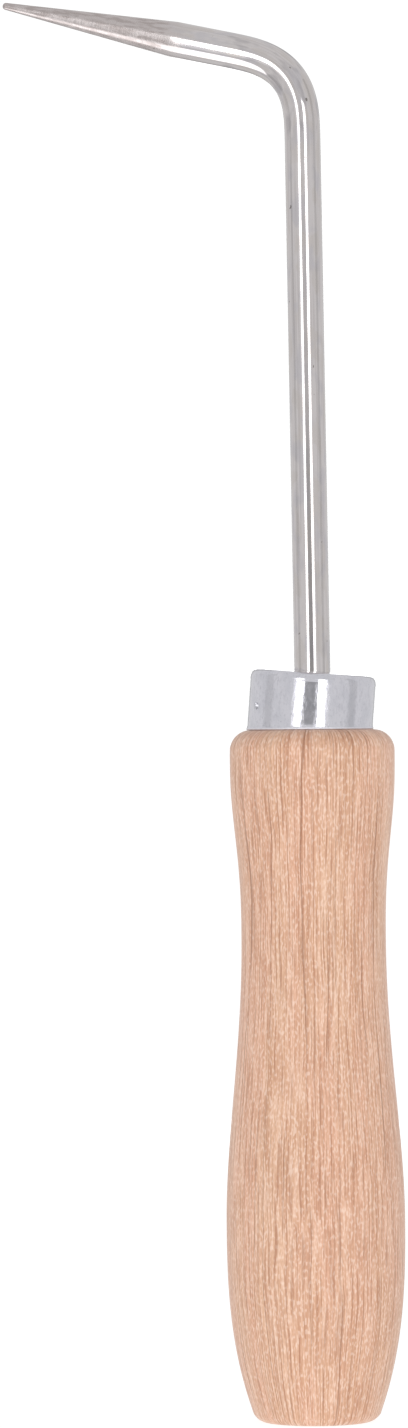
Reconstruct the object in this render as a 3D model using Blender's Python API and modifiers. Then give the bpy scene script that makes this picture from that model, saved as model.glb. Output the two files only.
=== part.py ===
"""Clay hook tool: a bent, pointed steel rod held in a turned wooden handle by a cap ferrule.

The handle stands on its butt. +Z runs up its axis, and the hook reaches towards -X.
"""

from math import cos, pi, radians, sin, sqrt, tan

import bmesh
import bpy
from mathutils import Matrix

MM = 0.001

# Handle: heights from the butt, radii of the turned outline
HANDLE_LENGTH = 115.4 * MM        # butt to shoulder
BUTT_RADIUS = 10.1 * MM           # where the flank would meet the butt if it were sharp
BUTT_ROUND = 1.6 * MM
BELLY_RADIUS = 14.9 * MM
BELLY_HEIGHT = 33.8 * MM
BELLY_FULLNESS = 2.7              # how early the butt end swells out
WAIST_RADIUS = 12.05 * MM
WAIST_HEIGHT = 80.7 * MM
BELLY_TO_WAIST_EASE = 0.9         # under 1 thins early, over 1 thins late
CHEST_RADIUS = 13.75 * MM
CHEST_BELOW_SHOULDER = 6.7 * MM
WAIST_TO_CHEST_EASE = 1.3
SHOULDER_ROUND = 3.5 * MM
TENON_CHAMFER = 0.8 * MM

# Ferrule: a drawn metal cap, set slightly askew on the tenon
FERRULE_RADIUS = 10.45 * MM
FERRULE_HEIGHT = 9.6 * MM         # shoulder to top face, on its own axis
FERRULE_WALL = 0.8 * MM
FERRULE_CORNER = 1.25 * MM
FERRULE_DOME = 0.2 * MM
FERRULE_TILT = radians(4.5)
DIMPLE_RADIUS = 0.65 * MM
DIMPLE_DEPTH = 0.4 * MM
DIMPLE_HEIGHT = 3.4 * MM          # above the shoulder
DIMPLE_TURN = radians(50)         # from -Y towards the hook's side

# Rod: heights along its own axis, which leans towards the hook's side
ROD_RADIUS = 3.0 * MM
ROD_LEAN = radians(0.62)
CROSSING_HEIGHT = 22.8 * MM       # above the shoulder, where rod and handle axes cross
FREE_LENGTH = 96.9 * MM           # shoulder to start of bend
BEND_LENGTH = 25.4 * MM           # along the centre line
BEND_TURN = radians(77.0)
ARM_LENGTH = 38.2 * MM            # end of bend to tip
POINT_LENGTH = 30.3 * MM          # ground cone at the arm's end
TIP_RADIUS = 0.6 * MM
TANG_DEPTH = 50.0 * MM            # below the shoulder
FLAT_LENGTH = 16.0 * MM           # two flats at the tang's end stop it turning
FLAT_WIDTH = 4.6 * MM             # across the two flats

# Between any two pieces that touch
FIT_GAP = 0.3 * MM

HANDLE_STEPS = 48
FLANK_STEPS = 36
FERRULE_STEPS = 64
ROD_SIDES = 24
BEND_STEPS = 24
ROUND_STEPS = 6

RUN_OUT = 2.0 * MM                # how far a cutter passes beyond what it cuts


def clear_scene():
    for item in list(bpy.data.objects):
        bpy.data.objects.remove(item, do_unlink=True)


def new_collection(name):
    collection = bpy.data.collections.new(name)
    bpy.context.scene.collection.children.link(collection)
    return collection


def new_material(name, colour, roughness, metallic):
    material = bpy.data.materials.new(name)
    material.use_nodes = True
    shader = material.node_tree.nodes["Principled BSDF"]
    shader.inputs["Base Color"].default_value = (*colour, 1.0)
    shader.inputs["Roughness"].default_value = roughness
    shader.inputs["Metallic"].default_value = metallic
    return material


def new_object(name, mesh, collection, parent=None):
    item = bpy.data.objects.new(name, mesh)
    collection.objects.link(item)
    item.parent = parent
    return item


def new_axis(name, height, turn_about_y, collection):
    """An empty on the handle's axis that carries a piece set askew to it."""
    axis = new_object(name, None, collection)
    axis.location = (0, 0, height)
    axis.rotation_euler = (0, turn_about_y, 0)
    return axis


def mark_cutter(item):
    item.hide_render = True
    item.display_type = "WIRE"
    return item


def shade_round(mesh):
    mesh.shade_smooth()
    mesh.set_sharp_from_angle(angle=radians(35))


def turned(name, profile, steps, collection, parent=None):
    """Spin an outline of (radius, height) points, listed down the outer side, about Z."""
    mesh = bpy.data.meshes.new(name)
    points = [(radius, 0, height) for radius, height in profile]
    mesh.from_pydata(points, [(i, i + 1) for i in range(len(points) - 1)], [])
    item = new_object(name, mesh, collection, parent)
    screw = item.modifiers.new("Spin", "SCREW")
    screw.axis = "Z"
    screw.angle = 2 * pi
    screw.steps = steps
    screw.render_steps = steps
    screw.use_merge_vertices = True
    screw.merge_threshold = 0.01 * MM
    screw.use_smooth_shade = True
    return item


def cut(item, cutter):
    boolean = item.modifiers.new("Cut " + cutter.name, "BOOLEAN")
    boolean.operation = "DIFFERENCE"
    boolean.object = cutter


def box_cutter(name, low, high, collection, parent=None):
    mesh = bpy.data.meshes.new(name)
    shape = bmesh.new()
    bmesh.ops.create_cube(shape, size=1.0)
    size = [b - a for a, b in zip(low, high)]
    middle = [(a + b) / 2 for a, b in zip(low, high)]
    place = Matrix.Translation(middle) @ Matrix.Diagonal((*size, 1))
    bmesh.ops.transform(shape, matrix=place, verts=shape.verts)
    shape.to_mesh(mesh)
    shape.free()
    return mark_cutter(new_object(name, mesh, collection, parent))


def swell_radius(height):
    """Radius of the handle's flank before its ends are rounded."""
    chest_height = HANDLE_LENGTH - CHEST_BELOW_SHOULDER
    if height < BELLY_HEIGHT:
        rest = 1 - height / BELLY_HEIGHT
        return BELLY_RADIUS - (BELLY_RADIUS - BUTT_RADIUS) * rest ** BELLY_FULLNESS
    if height < WAIST_HEIGHT:
        along = (height - BELLY_HEIGHT) / (WAIST_HEIGHT - BELLY_HEIGHT)
        eased = (1 - cos(pi * along ** BELLY_TO_WAIST_EASE)) / 2
        return BELLY_RADIUS + (WAIST_RADIUS - BELLY_RADIUS) * eased
    along = min((height - WAIST_HEIGHT) / (chest_height - WAIST_HEIGHT), 1)
    eased = (1 - cos(pi * along ** WAIST_TO_CHEST_EASE)) / 2
    return WAIST_RADIUS + (CHEST_RADIUS - WAIST_RADIUS) * eased


def round_inset(distance, rounding):
    """How far a rounded edge draws the flank in, at a distance from its end face."""
    inside = max(rounding - distance, 0)
    return rounding - sqrt(rounding ** 2 - inside ** 2)


def round_distances(rounding):
    """Distances from an end face that space points evenly round its edge."""
    return [rounding * (1 - cos(pi / 2 * i / ROUND_STEPS)) for i in range(ROUND_STEPS + 1)]


def ferrule_lift(height):
    """Sideways offset of the ferrule's axis from the handle's axis at a height."""
    return (height - HANDLE_LENGTH - FERRULE_HEIGHT / 2) * tan(FERRULE_TILT)


def tenon_size():
    """Radius and height of the tenon that fits inside the leaning ferrule."""
    bore = FERRULE_RADIUS - FERRULE_WALL
    radius = bore - FIT_GAP - abs(ferrule_lift(HANDLE_LENGTH))
    under_cap = (FERRULE_HEIGHT - FERRULE_WALL) * cos(FERRULE_TILT)
    return radius, under_cap - FIT_GAP - radius * tan(FERRULE_TILT)


def handle_profile():
    tenon_radius, tenon_height = tenon_size()
    top = HANDLE_LENGTH + tenon_height
    profile = [
        (0, top),
        (tenon_radius - TENON_CHAMFER, top),
        (tenon_radius, top - TENON_CHAMFER),
        (tenon_radius, HANDLE_LENGTH),
    ]
    shoulder = [HANDLE_LENGTH - d for d in round_distances(SHOULDER_ROUND)]
    butt = round_distances(BUTT_ROUND)[::-1]
    stretch = butt[0] - shoulder[-1]
    flank = [shoulder[-1] + stretch * i / FLANK_STEPS for i in range(1, FLANK_STEPS)]
    for height in shoulder + flank + butt:
        radius = swell_radius(height)
        radius -= round_inset(HANDLE_LENGTH - height, SHOULDER_ROUND)
        radius -= round_inset(height, BUTT_ROUND)
        profile.append((radius, height))
    profile.append((0, 0))
    return profile


def make_handle(parts, rod_bore):
    handle = turned("handle", handle_profile(), HANDLE_STEPS, parts)
    cut(handle, rod_bore)
    return handle


def ferrule_profile():
    """Outline in the ferrule's own frame, whose origin is half way up its axis."""
    top = FERRULE_HEIGHT / 2
    skirt = -top - FERRULE_RADIUS * tan(FERRULE_TILT) - RUN_OUT
    bore = FERRULE_RADIUS - FERRULE_WALL
    inner_corner = FERRULE_CORNER - FERRULE_WALL
    profile = [(0, top + FERRULE_DOME)]
    for i in range(ROUND_STEPS + 1):
        turn = pi / 2 * i / ROUND_STEPS
        radius = FERRULE_RADIUS - FERRULE_CORNER * (1 - sin(turn))
        profile.append((radius, top - FERRULE_CORNER * (1 - cos(turn))))
    profile += [
        (FERRULE_RADIUS, skirt),
        (bore, skirt),
        (bore, top - FERRULE_WALL - inner_corner),
        (bore - inner_corner, top - FERRULE_WALL),
        (0, top - FERRULE_WALL),
    ]
    return profile


def make_ferrule(parts, cutters, rod_bore):
    middle = HANDLE_LENGTH + FERRULE_HEIGHT / 2
    axis = new_axis("ferrule_axis", middle, FERRULE_TILT, parts)
    ferrule = turned("ferrule", ferrule_profile(), FERRULE_STEPS, parts, axis)

    # The rim is level with the shoulder although the cap leans
    reach = FERRULE_RADIUS * 2
    below = HANDLE_LENGTH - reach
    rim = HANDLE_LENGTH + FIT_GAP
    cut(ferrule, box_cutter("rim_cut", (-reach, -reach, below), (reach, reach, rim), cutters))
    cut(ferrule, rod_bore)

    # A punched dimple stakes the cap to the tenon
    mesh = bpy.data.meshes.new("dimple_cut")
    shape = bmesh.new()
    length = DIMPLE_DEPTH + RUN_OUT
    flare = DIMPLE_RADIUS * length / DIMPLE_DEPTH
    bmesh.ops.create_cone(shape, cap_ends=True, segments=16, radius1=flare, radius2=0, depth=length)
    shape.to_mesh(mesh)
    shape.free()
    dimple = mark_cutter(new_object("dimple_cut", mesh, cutters, axis))
    out = FERRULE_RADIUS - DIMPLE_DEPTH + length / 2
    dimple.location = (-sin(DIMPLE_TURN) * out, -cos(DIMPLE_TURN) * out, DIMPLE_HEIGHT - FERRULE_HEIGHT / 2)
    dimple.rotation_euler = (-pi / 2, 0, -DIMPLE_TURN)
    cut(ferrule, dimple)
    return ferrule


def rod_route():
    """(x, z, radius) along the rod in its own frame, from the tang's end to the tip."""
    tang_end = -CROSSING_HEIGHT - TANG_DEPTH
    bend_start = FREE_LENGTH - CROSSING_HEIGHT
    chamfer = ROD_RADIUS / 4
    route = [(0, tang_end, ROD_RADIUS - chamfer), (0, tang_end + chamfer, ROD_RADIUS)]
    x, z = 0, bend_start
    route.append((x, z, ROD_RADIUS))

    # The curvature rises smoothly from nothing to its peak and back
    step = BEND_LENGTH / BEND_STEPS
    for i in range(BEND_STEPS):
        middle = (i + 0.5) / BEND_STEPS
        heading = BEND_TURN * (middle - sin(2 * pi * middle) / (2 * pi))
        x -= step * sin(heading)
        z += step * cos(heading)
        route.append((x, z, ROD_RADIUS))

    def along_arm(distance, radius):
        return x - distance * sin(BEND_TURN), z + distance * cos(BEND_TURN), radius

    cone_start = ARM_LENGTH - POINT_LENGTH
    cone_end = ARM_LENGTH - TIP_RADIUS
    route.append(along_arm(cone_start, ROD_RADIUS))
    for i in range(ROUND_STEPS):
        turn = pi / 2 * i / ROUND_STEPS
        route.append(along_arm(cone_end + TIP_RADIUS * sin(turn), TIP_RADIUS * cos(turn)))
    return route


def make_rod(parts, cutters, axis):
    curve = bpy.data.curves.new("rod_line", "CURVE")
    curve.dimensions = "3D"
    curve.bevel_depth = 1.0
    curve.bevel_resolution = ROD_SIDES // 2 - 2
    curve.use_fill_caps = True
    spline = curve.splines.new("POLY")
    route = rod_route()
    spline.points.add(len(route) - 1)
    for point, (x, z, radius) in zip(spline.points, route):
        point.co = (x, 0, z, 1)
        point.radius = radius
    line = new_object("rod_line", curve, parts, axis)
    bpy.context.view_layer.update()

    graph = bpy.context.evaluated_depsgraph_get()
    mesh = bpy.data.meshes.new_from_object(line.evaluated_get(graph))
    shape = bmesh.new()
    shape.from_mesh(mesh)
    bmesh.ops.remove_doubles(shape, verts=shape.verts, dist=0.001 * MM)
    bmesh.ops.recalc_face_normals(shape, faces=shape.faces)
    shape.to_mesh(mesh)
    shape.free()
    shade_round(mesh)
    rod = new_object("hook_rod", mesh, parts)
    rod.matrix_world = line.matrix_world
    bpy.data.objects.remove(line)
    for flat in tang_flats("tang_flat", FLAT_WIDTH / 2, 0, cutters, axis):
        cut(rod, flat)
    return rod


def tang_flats(name, half_width, grow, cutters, axis):
    """Two boxes, one on each side of the tang's end, that leave flats between them."""
    end = -CROSSING_HEIGHT - TANG_DEPTH
    wide = ROD_RADIUS + RUN_OUT
    flats = []
    for side in (-1, 1):
        near, far = sorted((side * half_width, side * (wide + RUN_OUT)))
        low = (-wide, near, end - RUN_OUT)
        high = (wide, far, end + FLAT_LENGTH + grow)
        flats.append(box_cutter(f"{name}_{side + 2}", low, high, cutters, axis))
    return flats


def make_rod_bore(cutters, axis):
    """The space that the tang and the rod above it need in the handle and the ferrule."""
    end = -CROSSING_HEIGHT - TANG_DEPTH - FIT_GAP
    top = FERRULE_HEIGHT - CROSSING_HEIGHT + FERRULE_DOME + RUN_OUT
    radius = ROD_RADIUS + FIT_GAP
    profile = [(0, top), (radius, top), (radius, end), (0, end)]
    bore = mark_cutter(turned("rod_bore", profile, HANDLE_STEPS, cutters, axis))
    for flat in tang_flats("bore_flat", FLAT_WIDTH / 2 + FIT_GAP, -FIT_GAP, cutters, axis):
        cut(bore, flat)
    return bore


def main():
    clear_scene()
    parts = new_collection("clay_hook_tool")
    cutters = new_collection("cutters")
    beech = new_material("turned_beech", (0.60, 0.41, 0.29), 0.6, 0.0)
    zinc = new_material("zinc_plated_steel", (0.60, 0.60, 0.64), 0.25, 1.0)
    steel = new_material("stainless_rod", (0.52, 0.50, 0.48), 0.22, 1.0)

    rod_axis = new_axis("rod_axis", HANDLE_LENGTH + CROSSING_HEIGHT, -ROD_LEAN, parts)
    rod_bore = make_rod_bore(cutters, rod_axis)
    for item, material in (
        (make_handle(parts, rod_bore), beech),
        (make_ferrule(parts, cutters, rod_bore), zinc),
        (make_rod(parts, cutters, rod_axis), steel),
    ):
        item.data.materials.append(material)


main()
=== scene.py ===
"""Looks of the clay hook tool: turned wood, a plated cap and a bent, ground steel rod."""

from math import atan2, cos, pi, radians, sin, sqrt, tan

import bpy
from mathutils import Matrix, Vector


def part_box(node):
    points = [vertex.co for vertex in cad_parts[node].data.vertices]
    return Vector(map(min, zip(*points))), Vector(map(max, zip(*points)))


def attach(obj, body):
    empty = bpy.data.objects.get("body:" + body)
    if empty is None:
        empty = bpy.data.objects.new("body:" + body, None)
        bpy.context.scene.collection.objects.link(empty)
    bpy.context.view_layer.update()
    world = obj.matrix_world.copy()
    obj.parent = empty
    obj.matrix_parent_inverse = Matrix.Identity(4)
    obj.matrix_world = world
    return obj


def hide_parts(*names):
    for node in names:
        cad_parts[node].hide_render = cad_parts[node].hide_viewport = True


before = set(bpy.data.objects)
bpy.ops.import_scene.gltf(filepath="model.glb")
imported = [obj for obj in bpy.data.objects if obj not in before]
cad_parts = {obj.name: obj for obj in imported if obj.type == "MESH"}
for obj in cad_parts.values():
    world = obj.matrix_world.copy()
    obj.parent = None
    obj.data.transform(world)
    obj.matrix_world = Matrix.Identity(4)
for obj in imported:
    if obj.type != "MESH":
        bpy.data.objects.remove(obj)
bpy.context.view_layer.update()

MM = 0.001

# What the frame gives: the gap that the solids keep, and where the shoulder is
FIT_GAP = 0.3 * MM
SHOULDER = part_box("ferrule")[0].z - FIT_GAP

# Ferrule, in its own frame half way up its leaning axis
FERRULE_RADIUS = (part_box("ferrule")[1].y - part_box("ferrule")[0].y) / 2
FERRULE_HEIGHT = 9.6 * MM
FERRULE_WALL = 0.8 * MM
FERRULE_CORNER = 1.25 * MM
FERRULE_DOME = 0.2 * MM
RIM_LENGTH = 1.0 * MM
RIM_FLARE = 0.14 * MM
RIM_CHAMFER = 0.15 * MM
RIM_SLOPE = radians(40)
RIM_SATIN = 0.45 * MM
CREASE_HEIGHT = 0.06 * MM
CREASE_WIDTH = 0.3 * MM
FERRULE_TILT = radians(4.5)
DIMPLE_RADIUS = 0.7 * MM
DIMPLE_DEPTH = 0.75 * MM
DIMPLE_BURR = 0.08 * MM
DIMPLE_HEIGHT = 3.4 * MM
DIMPLE_TURN = radians(50)

# Rod, in its own frame where its leaning axis crosses the handle's axis
ROD_RADIUS = 3.0 * MM
ROD_LEAN = radians(0.62)
CROSSING_HEIGHT = 22.8 * MM
FREE_LENGTH = 96.9 * MM
BEND_LENGTH = 25.4 * MM
BEND_TURN = radians(77.0)
ARM_LENGTH = 38.2 * MM
POINT_LENGTH = 30.3 * MM
TIP_RADIUS = 0.6 * MM
TANG_DEPTH = 50.0 * MM

# Camera: level, half way up the tool, a little round from square on, away from the hook's point
CAMERA_AZIMUTH = radians(12)
CAMERA_DISTANCE = 1.2
CAMERA_HEIGHT = 118.15 * MM
CAMERA_ASIDE = -18.0 * MM
CAMERA_ROLL = 0.0079
CAMERA_LENS = 181.3

# Studio: what the metal mirrors away from the strips and cards, and how they stand
ROOM_GLOW = 0.74
TABLE_GLOW = 1.3
TABLE_EDGE = radians(-43), radians(-40)
TABLE_FRONT = -0.12, -0.03
WHITE = 1.05
FLOOR_GLOW = 0.86
FLOOR_RADIUS = 0.9
FLOOR_DROP = 0.02 * MM
STRIP_FOOT = -0.423
STRIP_TOP = 0.424
STRIP_RADIANCE = 2.8
LIGHTS_AWAY = 0.9


def linear(code):
    """A #rrggbb sRGB colour as linear RGBA."""
    channels = [int(code[i:i + 2], 16) / 255 for i in (1, 3, 5)]
    return [c / 12.92 if c <= 0.04045 else ((c + 0.055) / 1.055) ** 2.4 for c in channels] + [1.0]


def add(tree, kind, inputs=(), out=0, **settings):
    """Add a node and give one of its outputs. Inputs are numbers, colours, or outputs to link."""
    item = tree.nodes.new("ShaderNode" + kind)
    for name, value in settings.items():
        setattr(item, name, value)
    for key, value in dict(inputs).items():
        if isinstance(value, bpy.types.NodeSocket):
            tree.links.new(value, item.inputs[key])
        else:
            item.inputs[key].default_value = value
    return item.outputs[out] if item.outputs else None


def start_material(name):
    material = bpy.data.materials.new(name)
    material.use_nodes = True
    material.node_tree.nodes.clear()
    return material, material.node_tree


def make_patterns(tree, place, sizes):
    """Uneven patterns by name, from each one's real size: mm across and along the piece, and detail."""
    patterns = {}
    for name, (across, along, detail) in sizes.items():
        cell = (across * MM, across * MM, along * MM)
        scaled = add(tree, "VectorMath", {0: place, 1: cell}, operation="DIVIDE")
        patterns[name] = add(tree, "TexNoise", {"Vector": scaled, "Scale": 1.0, "Detail": detail})
    return patterns


def ramp(value, low, high, to_low=0.0, to_high=1.0):
    """Settings of a soft ramp that is held at both ends."""
    return {"Value": value, "From Min": low, "From Max": high, "To Min": to_low, "To Max": to_high}


def tint(tree, colour, layers):
    """Lay colours over a colour in turn, each where its mask rises from low to high, up to its share."""
    for mask, low, high, share, code in layers:
        cover = add(tree, "MapRange", ramp(mask, low, high, 0.0, share), interpolation_type="SMOOTHSTEP")
        colour = add(tree, "Mix", {0: cover, 6: colour, 7: linear(code)}, out=2, data_type="RGBA")
    return colour


def put_in_scene(name, data):
    item = bpy.data.objects.new(name, data)
    bpy.context.scene.collection.objects.link(item)
    return item


def loft(name, rings, loop=False):
    """A closed skin through rings of points. Ends that aren't looped are fanned to a middle point."""
    sides = len(rings[0])
    points = [p for ring in rings for p in ring]
    faces = []
    rows = len(rings) if loop else len(rings) - 1
    for row in range(rows):
        here, above = row * sides, (row + 1) % len(rings) * sides
        for i in range(sides):
            j = (i + 1) % sides
            faces.append((here + i, here + j, above + j, above + i))
    if not loop:
        for ring, start, turn in ((rings[0], 0, -1), (rings[-1], len(points) - sides, 1)):
            middle = len(points)
            points.append(sum(ring, Vector()) / sides)
            for i in range(sides):
                a, b = start + i, start + (i + 1) % sides
                faces.append((a, b, middle) if turn > 0 else (b, a, middle))
    mesh = bpy.data.meshes.new(name)
    mesh.from_pydata(points, [], faces)
    mesh.validate()
    mesh.shade_smooth()
    return put_in_scene(name, mesh)


def store_vectors(item, name, vectors):
    layer = item.data.attributes.new(name, "FLOAT_VECTOR", "POINT")
    layer.data.foreach_set("vector", [c for v in vectors for c in v])


def circle(radius, height, sides, centre_x=0.0):
    return [
        Vector((centre_x + radius * cos(2 * pi * i / sides), radius * sin(2 * pi * i / sides), height))
        for i in range(sides)
    ]


def rod_axis_x(height):
    """Where the rod's axis is at a height, seen square to the hook."""
    return -(height - SHOULDER - CROSSING_HEIGHT) * tan(ROD_LEAN)


# Handle

HANDLE_SIDES = 144
BUTT_SHARES = (0.15, 0.4, 0.7, 0.9, 0.97)
SHOULDER_SHARES = (0.97, 0.9)
BORE_WIDEST = 4.5 * MM
TENON_CLEAR = 0.7 * MM
TENON_TOP_CLEAR = 1.3 * MM
TENON_ROOT = 0.1 * MM
TENON_CHAMFER = 0.5 * MM, 0.3 * MM
BORE_CHAMFER = 0.2 * MM
GRAIN_RADIUS = 13.0 * MM
GRAIN_DRIFT_CELL = 12 * MM
GRAIN_DRIFT = 0.9 * MM


def handle_outline():
    """The solid's own turned outline, as (height, radius) from the butt's edge to the shoulder."""
    radii = {}
    fine = 0.02 * MM
    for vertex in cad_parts["handle"].data.vertices:
        x, y, z = vertex.co
        if z <= SHOULDER + fine / 2:
            key = round(z / fine)
            radius = sqrt(x * x + y * y)
            if radius > radii.get(key, (0, 0))[1]:
                radii[key] = (z, radius)
    return [radii[key] for key in sorted(radii) if radii[key][1] > BORE_WIDEST]


def smooth_through(points, steps):
    """Catmull-Rom curve through (height, radius) points."""
    ends = [points[0]] + points + [points[-1]]
    curve = []
    for a, b, c, d in zip(ends, ends[1:], ends[2:], ends[3:]):
        for i in range(steps):
            t = i / steps
            curve.append(tuple(
                0.5 * (2 * q + (r - p) * t + (2 * p - 5 * q + 4 * r - s) * t * t
                       + (3 * q - p - 3 * r + s) * t ** 3)
                for p, q, r, s in zip(a, b, c, d)
            ))
    return curve + [points[-1]]


def make_handle():
    outline = handle_outline()
    butt_edge, shoulder_edge = outline[0], outline[-1]
    tenon_radius = FERRULE_RADIUS - FERRULE_WALL - TENON_CLEAR
    tenon_top = SHOULDER + FERRULE_HEIGHT - FERRULE_WALL - TENON_TOP_CLEAR
    chamfer_in, chamfer_up = TENON_CHAMFER
    bore_radius = ROD_RADIUS + FIT_GAP
    bore_end = SHOULDER - TANG_DEPTH - FIT_GAP
    rings = []
    for share in BUTT_SHARES:
        rings.append(circle(butt_edge[1] * share, 0.0, HANDLE_SIDES))
    for height, radius in smooth_through(outline, 3):
        rings.append(circle(radius, height, HANDLE_SIDES))
    for share in SHOULDER_SHARES:
        rings.append(circle(shoulder_edge[1] * share, SHOULDER, HANDLE_SIDES))
    for radius, height in (
        (tenon_radius + TENON_ROOT, SHOULDER), (tenon_radius, SHOULDER + TENON_ROOT),
        (tenon_radius, tenon_top), (tenon_radius - chamfer_in, tenon_top + chamfer_up),
    ):
        rings.append(circle(radius, height, HANDLE_SIDES))
    for height in (tenon_top + chamfer_up, tenon_top, bore_end + BORE_CHAMFER, bore_end):
        rings.append(circle(bore_radius, height, HANDLE_SIDES, rod_axis_x(height)))
    skin = loft("handle_wood", rings)

    # The grain follows the handle's outline, so the fibres draw together where it narrows
    heights = [h for h, r in outline]

    def grain_place(point):
        if point.z >= SHOULDER:
            radius = shoulder_edge[1]
        else:
            k = max(i for i, h in enumerate(heights) if h <= max(point.z, heights[0]))
            radius = outline[k][1]
            if k + 1 < len(outline):
                gap = heights[k + 1] - heights[k]
                radius += (outline[k + 1][1] - radius) * (point.z - heights[k]) / gap
        draw = GRAIN_RADIUS / radius
        return point.x * draw, point.y * draw, point.z

    store_vectors(skin, "grain", [grain_place(v.co) for v in skin.data.vertices])
    return skin


def beech_material():
    """Steamed beech, turned and sanded but not varnished: pinkish tan, matt, with fine dark pores."""
    material, tree = start_material("steamed_beech_sanded")
    place = add(tree, "Attribute", out="Vector", attribute_name="grain")

    # The fibres wander a little from straight
    drift_scale = 1 / GRAIN_DRIFT_CELL
    drift = add(tree, "TexNoise", {"Vector": place, "Scale": drift_scale, "Detail": 1.0}, out="Color")
    drift = add(tree, "VectorMath", {0: drift, 1: (GRAIN_DRIFT, GRAIN_DRIFT, 0.0)}, operation="MULTIPLY")
    place = add(tree, "VectorMath", {0: place, 1: drift}, operation="ADD")

    # Real fibres and pores are under 0.1 mm wide, too fine to show, so they are drawn about 0.25 mm wide
    grain = make_patterns(tree, place, {
        "tone": (6.0, 60.0, 1.0),
        "stain": (4.0, 26.0, 2.0),
        "bloom": (2.5, 7.0, 2.0),
        "layers": (0.8, 80.0, 1.0),
        "striae": (0.26, 45.0, 1.0),
        "fibres": (0.22, 7.0, 1.0),
        "flecks": (0.24, 0.7, 0.0),
        "pores": (0.27, 18.0, 0.0),
        "fine_sway": (3.0, 70.0, 1.0),
        "fine_breaks": (0.5, 9.0, 1.0),
        "long_sway": (6.0, 110.0, 1.0),
        "long_breaks": (1.3, 30.0, 1.0),
    })

    # Layers of growth show as thin dark lines along the handle: many fine ones and a few strong ones
    across = add(tree, "SeparateXYZ", {0: place}, out="X")
    deep = add(tree, "SeparateXYZ", {0: place}, out="Y")
    turn = add(tree, "Math", {0: across, 1: deep}, operation="ARCTAN2")
    lines = []
    for number, sway, swing, breaks, rare, common, thin, wide in (
        (104, "fine_sway", 4.0, "fine_breaks", 0.42, 0.62, 0.07, 0.19),
        (30, "long_sway", 3.0, "long_breaks", 0.47, 0.60, 0.02, 0.06),
    ):
        count = add(tree, "Math", {0: turn, 1: number / (2 * pi)}, operation="MULTIPLY")
        count = add(tree, "Math", {0: grain[sway], 1: swing, 2: count}, operation="MULTIPLY_ADD")
        away = add(tree, "Math", {0: count, 1: 0.5}, operation="PINGPONG")
        line = add(tree, "MapRange", ramp(away, thin, wide, 1.0, 0.0), interpolation_type="SMOOTHSTEP")
        shown = add(tree, "MapRange", ramp(grain[breaks], rare, common), interpolation_type="SMOOTHSTEP")
        lines.append(add(tree, "Math", {0: line, 1: shown}, operation="MULTIPLY"))
    fine, strong = lines

    colour = tint(tree, linear("#dab092"), (
        (grain["tone"], 0.38, 0.62, 1.0, "#daa98d"),
        (grain["stain"], 0.48, 0.66, 0.65, "#cb9c7a"),
        (grain["bloom"], 0.45, 0.65, 0.35, "#d09f82"),
        (grain["layers"], 0.48, 0.62, 0.22, "#c39376"),
        (grain["striae"], 0.50, 0.66, 0.34, "#b58165"),
        (grain["striae"], 0.50, 0.36, 0.36, "#e7c3ab"),
        (grain["fibres"], 0.50, 0.66, 0.38, "#b78267"),
        (grain["fibres"], 0.50, 0.34, 0.42, "#eac9b4"),
        (grain["flecks"], 0.52, 0.72, 0.50, "#eed5c5"),
        (grain["flecks"], 0.46, 0.28, 0.30, "#bd8d71"),
        (grain["pores"], 0.60, 0.68, 0.34, "#9b6648"),
        (fine, 0.0, 1.0, 0.58, "#a57152"),
        (strong, 0.0, 1.0, 0.60, "#8b593a"),
    ))
    low = add(tree, "Math", {0: fine, 1: strong}, operation="MAXIMUM")
    height = add(tree, "Math", {0: grain["fibres"], 1: low}, operation="SUBTRACT")
    bump = add(tree, "Bump", {"Height": height, "Strength": 0.5, "Distance": 0.04 * MM})
    rough = add(tree, "MapRange", ramp(grain["fibres"], 0.3, 0.7, 0.56, 0.68))
    shader = add(tree, "BsdfPrincipled", {
        "Base Color": colour, "Roughness": rough, "IOR": 1.5, "Sheen Weight": 0.25, "Sheen Roughness": 0.45,
        "Normal": bump,
    })
    add(tree, "OutputMaterial", {"Surface": shader})
    return material


# Ferrule

FERRULE_SIDES = 360
FERRULE_ROWS = 70
RIM_ROWS = 20
CORNER_STEPS = 14
TOP_SHARES = (0.5, 0.65, 0.8, 0.9, 1.0)
OUTSIDE_MARGIN = 0.02 * MM
HOLE_EASE = 0.12 * MM
HOLE_LIP = 0.12 * MM
BURR_RING = 1.15
BURR_WIDTH = 0.4


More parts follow.
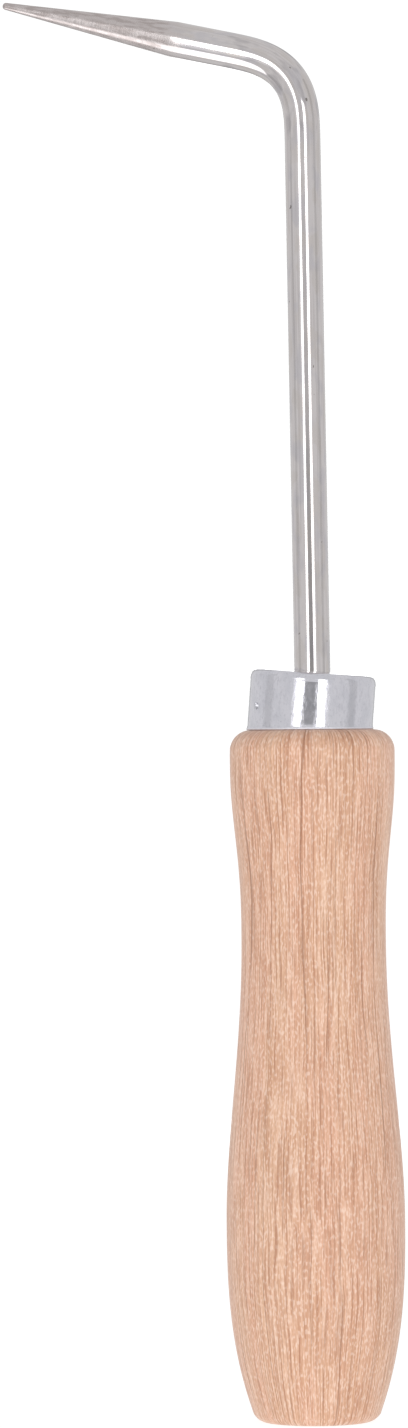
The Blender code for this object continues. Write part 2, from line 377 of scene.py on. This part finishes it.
def make_ferrule():
    top = FERRULE_HEIGHT / 2
    corner, wall = FERRULE_CORNER, FERRULE_WALL
    radius = FERRULE_RADIUS
    angles = [2 * pi * i / FERRULE_SIDES for i in range(FERRULE_SIDES)]
    middle = Vector((0, 0, SHOULDER + top))
    hole_radius = ROD_RADIUS + HOLE_EASE
    hole_x = (rod_axis_x(SHOULDER + FERRULE_HEIGHT) - top * tan(FERRULE_TILT)) * cos(FERRULE_TILT)

    def ring(spread, height, centre_x=0.0):
        return [Vector((centre_x + spread * cos(a), spread * sin(a), height)) for a in angles]

    def rim_height(angle, spread):
        """Height in the leaning frame of the level shoulder."""
        return (-top + spread * cos(angle) * sin(FERRULE_TILT)) / cos(FERRULE_TILT)

    punched = Vector((-sin(DIMPLE_TURN) * radius, -cos(DIMPLE_TURN) * radius, DIMPLE_HEIGHT - top))

    def dent(point):
        """Push the wall in at the punched dimple, with a low burr round it."""
        away = (point - punched).length / DIMPLE_RADIUS
        flat = Vector((point.x, point.y, 0)).normalized()
        push = DIMPLE_DEPTH * (0.5 + 0.5 * cos(pi * min(away, 1)))
        burr = DIMPLE_BURR * max(1 - abs(away - BURR_RING) / BURR_WIDTH, 0)
        return point - flat * (push - burr)

    def wall_point(angle, height):
        """The side wall: plain down to the rim, where it flares and ends in a small chamfer."""
        above = height - rim_height(angle, radius)
        flare = RIM_FLARE * max(0, (RIM_LENGTH - above) / (RIM_LENGTH - RIM_CHAMFER)) ** 2
        if above < RIM_CHAMFER:
            flare = RIM_FLARE - (RIM_CHAMFER - above) * tan(RIM_SLOPE)
        below_corner = (top - corner) - height
        crease = CREASE_HEIGHT * max(1 - abs(below_corner - CREASE_WIDTH) / CREASE_WIDTH, 0)
        spread = radius + flare + crease
        return dent(Vector((spread * cos(angle), spread * sin(angle), height)))

    rings = []
    rings.append(ring(hole_radius, top + FERRULE_DOME - HOLE_LIP, hole_x))
    rings.append(ring(hole_radius + HOLE_LIP, top + FERRULE_DOME, hole_x))
    for share in TOP_SHARES:
        spread = (radius - corner) * share
        rings.append(ring(spread, top + FERRULE_DOME * (1 - share ** 2)))
    for i in range(1, CORNER_STEPS + 1):
        turn = pi / 2 * i / CORNER_STEPS
        rings.append(ring(radius - corner * (1 - sin(turn)), top - corner * (1 - cos(turn))))
    for i in range(1, FERRULE_ROWS + 1):
        share = i / FERRULE_ROWS
        wall_ring = []
        for a in angles:
            rim_start = rim_height(a, radius) + RIM_LENGTH
            wall_ring.append(wall_point(a, (top - corner) * (1 - share) + rim_start * share))
        rings.append(wall_ring)
    for i in range(1, RIM_ROWS + 1):
        above = RIM_LENGTH * (1 - i / RIM_ROWS)
        rings.append([wall_point(a, rim_height(a, radius) + above) for a in angles])
    inner = radius - wall
    rings.append([Vector((inner * cos(a), inner * sin(a), rim_height(a, inner))) for a in angles])
    rings.append(ring(inner, top - corner))
    rings.append(ring(inner - (corner - wall), top - wall))
    rings.append(ring(hole_radius, top - wall, hole_x))
    skin = loft("ferrule_cap", [list(reversed(r)) for r in rings], loop=True)

    # How satin the rim's cut edge is, and how near the dimple's middle, where the cap's colour is darkened
    # as painted shade in the hollow: outside only
    satin_and_dimple_shade = []
    for vertex in skin.data.vertices:
        point = vertex.co
        outside = sqrt(point.x ** 2 + point.y ** 2) > radius - wall + OUTSIDE_MARGIN
        above = point.z - rim_height(atan2(point.y, point.x), radius)
        satin = min(max((RIM_SATIN - above) / (RIM_SATIN / 3), 0), 1)
        painted_dimple_shade = min(max(1.2 - (point - punched).length / DIMPLE_RADIUS, 0), 1)
        satin_and_dimple_shade.append((satin * outside, painted_dimple_shade * outside, 0.0))
    store_vectors(skin, "satin_and_dimple_shade", satin_and_dimple_shade)
    skin.location = middle
    skin.rotation_euler = (0, FERRULE_TILT, 0)
    return skin


def plated_material():
    """Bright zinc plate on drawn steel: cool white metal, glossy, cloudy, with faint lines from drawing."""
    material, tree = start_material("bright_zinc_plate")
    place = add(tree, "TexCoord", out="Object")

    # Real drawing marks and zinc grains are under 0.1 mm, too fine to show, so they are drawn coarser
    plate = make_patterns(tree, place, {
        "drawn": (0.35, 4.0, 2.0),
        "cloud": (2.4, 2.4, 2.0),
        "mottle": (0.45, 0.9, 2.0),
        "specks": (0.30, 0.35, 1.0),
    })
    satin_and_dimple_shade = add(tree, "Attribute", out="Vector", attribute_name="satin_and_dimple_shade")
    satin = add(tree, "SeparateXYZ", {0: satin_and_dimple_shade}, out="X")
    painted_dimple_shade = add(tree, "SeparateXYZ", {0: satin_and_dimple_shade}, out="Y")
    colour = tint(tree, linear("#e2e1e8"), (
        (plate["cloud"], 0.35, 0.70, 0.7, "#d5d5dd"),
        (plate["mottle"], 0.50, 0.70, 0.5, "#cbcad2"),
        (plate["specks"], 0.68, 0.76, 0.35, "#9a9aa6"),
        # Painted shade: the dimple's hollow is darkened towards its middle
        (painted_dimple_shade, 0.25, 0.75, 0.9, "#4a4950"),
        (satin, 0.0, 1.0, 1.0, "#e9e9f0"),
    ))
    rough = add(tree, "MapRange", ramp(plate["mottle"], 0.3, 0.7, 0.07, 0.20))
    rough = add(tree, "Mix", {0: satin, 2: rough, 3: 0.55})
    height = add(tree, "Math", {0: plate["drawn"], 1: 0.8, 2: plate["mottle"]}, operation="MULTIPLY_ADD")
    height = add(tree, "Math", {0: plate["cloud"], 1: 2.2, 2: height}, operation="MULTIPLY_ADD")
    bump = add(tree, "Bump", {"Height": height, "Strength": 0.5, "Distance": 0.024 * MM})
    shader = add(tree, "BsdfPrincipled", {
        "Base Color": colour, "Metallic": 1.0, "Roughness": rough, "Normal": bump,
    })
    add(tree, "OutputMaterial", {"Surface": shader})
    return material


# Rod

ROD_SIDES = 96
STRAIGHT_STEPS = 90
BEND_STEPS = 80
ARM_STEPS = 8
CONE_STEPS = 60
TIP_STEPS = 7
TANG_CHAMFER = ROD_RADIUS / 4


def bend_heading(share):
    """How far the rod has turned part way round the bend, which starts and ends gently."""
    return BEND_TURN * (share - sin(2 * pi * share) / (2 * pi))


def rod_route():
    """(x, z, heading, radius, length so far) along the rod in its own frame."""
    start = -CROSSING_HEIGHT - TANG_DEPTH
    bend_start = FREE_LENGTH - CROSSING_HEIGHT
    route = [
        (0.0, start, 0.0, ROD_RADIUS - TANG_CHAMFER, 0.0),
        (0.0, start + TANG_CHAMFER, 0.0, ROD_RADIUS, TANG_CHAMFER),
    ]
    for i in range(1, STRAIGHT_STEPS + 1):
        z = start + TANG_CHAMFER + (bend_start - start - TANG_CHAMFER) * i / STRAIGHT_STEPS
        route.append((0.0, z, 0.0, ROD_RADIUS, z - start))
    x, z, length = 0.0, bend_start, bend_start - start
    step = BEND_LENGTH / BEND_STEPS
    for i in range(BEND_STEPS):
        heading = bend_heading((i + 0.5) / BEND_STEPS)
        x -= step * sin(heading)
        z += step * cos(heading)
        length += step
        route.append((x, z, bend_heading((i + 1) / BEND_STEPS), ROD_RADIUS, length))

    def along_arm(distance, radius):
        return (x - distance * sin(BEND_TURN), z + distance * cos(BEND_TURN), BEND_TURN, radius,
                length + distance)

    cone_start = ARM_LENGTH - POINT_LENGTH
    cone_end = ARM_LENGTH - TIP_RADIUS
    for i in range(1, ARM_STEPS + 1):
        route.append(along_arm(cone_start * i / ARM_STEPS, ROD_RADIUS))
    for i in range(1, CONE_STEPS + 1):
        share = i / CONE_STEPS
        radius = ROD_RADIUS + (TIP_RADIUS - ROD_RADIUS) * share
        route.append(along_arm(cone_start + (cone_end - cone_start) * share, radius))
    for i in range(1, TIP_STEPS):
        turn = pi / 2 * i / TIP_STEPS
        route.append(along_arm(cone_end + TIP_RADIUS * sin(turn), TIP_RADIUS * cos(turn)))
    return route


def make_rod():
    place = Matrix.Translation((0, 0, SHOULDER + CROSSING_HEIGHT)) @ Matrix.Rotation(-ROD_LEAN, 4, "Y")
    rings, straight = [], []
    for x, z, heading, radius, length in rod_route():
        ring = []
        for i in range(ROD_SIDES):
            angle = 2 * pi * i / ROD_SIDES
            out, side = radius * cos(angle), radius * sin(angle)
            ring.append(place @ Vector((x + out * cos(heading), side, z + out * sin(heading))))
            straight.append((out, side, length))
        rings.append(ring)
    skin = loft("hook_steel", rings)
    straight += [(0, 0, 0), (0, 0, rod_route()[-1][4])]
    store_vectors(skin, "bar", straight)
    return skin


def steel_material():
    """Stainless round bar: polished along its length, then the point ground to a satin cone."""
    material, tree = start_material("stainless_bar_ground_point")
    place = add(tree, "Attribute", out="Vector", attribute_name="bar")
    length = add(tree, "SeparateXYZ", {0: place}, out="Z")

    # Real grinding marks are about 0.1 mm apart, too fine to show, so they are drawn 0.22 mm apart
    bar = make_patterns(tree, place, {
        "streaks": (0.30, 22.0, 2.0),
        "cloud": (2.2, 5.0, 2.0),
        "smudge": (1.6, 5.0, 2.0),
        "grinding": (3.0, 0.22, 2.0),
        "scuffs": (0.5, 2.5, 2.0),
        "pits": (0.7, 0.7, 0.0),
    })
    pit = add(tree, "MapRange", ramp(bar["pits"], 0.83, 0.86))

    # The grinding starts raggedly, a little before the cone does
    point_start = TANG_DEPTH + FREE_LENGTH + BEND_LENGTH + ARM_LENGTH - POINT_LENGTH
    ragged_start = point_start - 1.0 * MM
    ragged_reach, ground_fade = 9 * MM, 10 * MM
    ragged = add(tree, "Math", {0: bar["scuffs"], 1: ragged_reach, 2: length}, operation="MULTIPLY_ADD")
    ground = add(tree, "MapRange", ramp(ragged, ragged_start, ragged_start + ground_fade),
                 interpolation_type="SMOOTHSTEP")

    # The bending tool left dull smudges round the bend
    bend_start = TANG_DEPTH + FREE_LENGTH
    bend_end = bend_start + BEND_LENGTH
    past_start = add(tree, "MapRange", ramp(length, bend_start - 8 * MM, bend_start + 4 * MM))
    before_end = add(tree, "MapRange", ramp(length, bend_end - 2 * MM, bend_end + 3 * MM, 1.0, 0.0))
    pressed = add(tree, "Math", {0: past_start, 1: before_end}, operation="MULTIPLY")
    pressed = add(tree, "Math", {0: pressed, 1: bar["smudge"]}, operation="MULTIPLY")

    colour = tint(tree, linear("#dcd7d7"), (
        (bar["streaks"], 0.45, 0.70, 0.7, "#c7c1c1"),
        (bar["smudge"], 0.50, 0.38, 0.45, "#cec7c2"),
        (bar["cloud"], 0.50, 0.66, 0.45, "#c2c0c7"),
        (pressed, 0.48, 0.62, 0.45, "#aaa6a9"),
        (ground, 0.0, 1.0, 1.0, "#cdc5c4"),
    ))
    scuffed = add(tree, "Math", {0: bar["scuffs"], 1: ground}, operation="MULTIPLY")
    colour = tint(tree, colour, (
        (scuffed, 0.38, 0.62, 0.8, "#b3a9a7"),
        (pit, 0.0, 1.0, 0.7, "#5e564e"),
    ))
    polished = add(tree, "MapRange", ramp(bar["streaks"], 0.3, 0.75, 0.05, 0.10))
    brushed = add(tree, "MapRange", ramp(bar["grinding"], 0.3, 0.7, 0.20, 0.36))
    rough = add(tree, "Mix", {0: ground, 2: polished, 3: brushed})
    crossed = add(tree, "Math", {0: bar["grinding"], 1: ground}, operation="MULTIPLY")
    height = add(tree, "Math", {0: bar["streaks"], 1: 0.1, 2: crossed}, operation="MULTIPLY_ADD")
    height = add(tree, "Math", {0: height, 1: pit}, operation="SUBTRACT")
    bump = add(tree, "Bump", {"Height": height, "Strength": 0.5, "Distance": 0.015 * MM})
    shader = add(tree, "BsdfPrincipled", {
        "Base Color": colour, "Metallic": 1.0, "Roughness": rough, "Normal": bump,
    })
    add(tree, "OutputMaterial", {"Surface": shader})
    return material


# Studio

def seen_from_camera(degrees_right):
    """Unit vector from the tool at an angle to the right of the camera, in plan."""
    camera_offset = atan2(CAMERA_ASIDE, CAMERA_DISTANCE)
    a = CAMERA_AZIMUTH + camera_offset + radians(degrees_right)
    return Vector((sin(a), -cos(a), 0))


def make_camera():
    data = bpy.data.cameras.new("camera")
    data.sensor_width = 36.0
    data.lens = CAMERA_LENS
    data.clip_start = 0.05
    data.clip_end = 20.0
    item = put_in_scene("camera", data)
    back = Vector((sin(CAMERA_AZIMUTH), -cos(CAMERA_AZIMUTH), 0))
    level = Vector((cos(CAMERA_AZIMUTH), sin(CAMERA_AZIMUTH), 0))
    right = (level - Vector((0, 0, CAMERA_ROLL))).normalized()
    up = back.cross(right)
    turn = Matrix((right, up, back)).transposed()
    spot = back * CAMERA_DISTANCE + level * CAMERA_ASIDE + Vector((0, 0, CAMERA_HEIGHT))
    item.matrix_world = Matrix.Translation(spot) @ turn.to_4x4()
    bpy.context.scene.camera = item


def strip_light(name, degrees_right, width, low, high, distance, radiance):
    """An upright soft strip that faces the tool."""
    data = bpy.data.lights.new(name, "AREA")
    data.shape = "RECTANGLE"
    data.size = width
    data.size_y = high - low
    data.energy = radiance * pi * width * (high - low)
    item = put_in_scene(name, data)
    out = seen_from_camera(degrees_right)
    item.location = out * distance + Vector((0, 0, (low + high) / 2))
    item.rotation_euler = out.to_track_quat("Z", "Y").to_euler()
    item.visible_camera = False


def grey_card(name, degrees_right, width, low, high, distance, glow, rise=None):
    """A card that only reflections see. Its grey is even, or rises between two (height, glow) pairs."""
    out = seen_from_camera(degrees_right)
    side = Vector((0, 0, 1)).cross(out) * width / 2
    base = out * distance
    corners = [base - side, base + side, base + side, base - side]
    points = [(c.x, c.y, z) for c, z in zip(corners, (low, low, high, high))]
    mesh = bpy.data.meshes.new(name)
    mesh.from_pydata(points, [], [(0, 1, 2, 3)])
    item = put_in_scene(name, mesh)
    for ray in ("visible_camera", "visible_diffuse", "visible_shadow", "visible_transmission"):
        setattr(item, ray, False)
    material, tree = start_material(name)
    if rise:
        foot, head = rise
        height = add(tree, "SeparateXYZ", {0: add(tree, "TexCoord", out="Object")}, out="Z")
        glow = add(tree, "MapRange", ramp(height, foot[0], head[0], foot[1], head[1]))
    add(tree, "OutputMaterial", {"Surface": add(tree, "Emission", {"Strength": glow})})
    mesh.materials.append(material)


def make_floor():
    sides = 96
    mesh = bpy.data.meshes.new("floor")
    mesh.from_pydata(circle(FLOOR_RADIUS, 0.0, sides), [], [tuple(range(sides))])
    item = put_in_scene("floor", mesh)
    item.location.z = -FLOOR_DROP
    item.visible_glossy = False
    item.visible_shadow = False
    material, tree = start_material("white_floor")
    pale = add(tree, "BsdfDiffuse", {"Color": linear("#8a8a8a")})
    glow = add(tree, "Emission", {"Strength": FLOOR_GLOW})
    add(tree, "OutputMaterial", {"Surface": add(tree, "AddShader", {0: pale, 1: glow})})
    mesh.materials.append(material)


def make_world():
    """White to the camera. The tool itself sees a grey-white room, with a bright table before it."""
    world = bpy.data.worlds.new("studio")
    bpy.context.scene.world = world
    world.use_nodes = True
    tree = world.node_tree
    tree.nodes.clear()
    way = add(tree, "TexCoord", out="Generated")
    rise = add(tree, "SeparateXYZ", {0: way}, out="Z")
    front = add(tree, "VectorMath", {0: way, 1: seen_from_camera(0)}, out="Value", operation="DOT_PRODUCT")
    lowest, highest = (sin(edge) for edge in TABLE_EDGE)
    below = add(tree, "MapRange", ramp(rise, lowest, highest, TABLE_GLOW, 0.0),
                interpolation_type="SMOOTHSTEP")
    table = add(tree, "MapRange", ramp(front, *TABLE_FRONT, 0.0, below), interpolation_type="SMOOTHSTEP")
    room = add(tree, "Math", {0: table, 1: ROOM_GLOW}, operation="ADD")
    seen = add(tree, "LightPath", out="Is Camera Ray")
    strength = add(tree, "Mix", {0: seen, 2: room, 3: WHITE})
    back = add(tree, "Background", {"Color": linear("#ffffff"), "Strength": strength})
    add(tree, "OutputWorld", {"Surface": back})


def make_lights():
    for name, degrees_right, width in (("strip_left", -23.5, 0.168), ("strip_right", 17.6, 0.182)):
        strip_light(name, degrees_right, width, STRIP_FOOT, STRIP_TOP, LIGHTS_AWAY, STRIP_RADIANCE)
    strip_light("strip_back", 180, 0.2, -0.3, 0.3, LIGHTS_AWAY, 1.8)

    # A grey card fills the front between the strips, and pale ones soften the strips' outer edges
    just_behind = LIGHTS_AWAY + 0.01
    grey_card("card_front", -3.0, 0.36, -0.5, 0.6, just_behind, 0.0, ((0.13, 0.36), (0.27, 0.72)))
    for name, degrees_right in (("card_edge_left", -32.0), ("card_edge_right", 26.6)):
        grey_card(name, degrees_right, 0.1, STRIP_FOOT, STRIP_TOP, LIGHTS_AWAY, 0.95)

    # The cards at the sides and behind show as soft upright bands in the metal
    for name, degrees_right, width, glow in (
        ("card_left", -86, 0.28, 0.62),
        ("card_right", 80, 0.28, 0.60),
        ("card_back_left", -164, 0.19, 0.5),
        ("card_back_right", 164, 0.19, 0.5),
    ):
        grey_card(name, degrees_right, width, -0.5, 0.9, LIGHTS_AWAY, glow)


def dress(piece, node, material):
    piece.data.materials.append(material)
    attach(piece, "root")
    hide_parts(node)


dress(make_handle(), "handle", beech_material())
dress(make_ferrule(), "ferrule", plated_material())
dress(make_rod(), "hook_rod", steel_material())
make_camera()
make_floor()
make_world()
make_lights()
bpy.context.scene.view_settings.view_transform = "Standard"
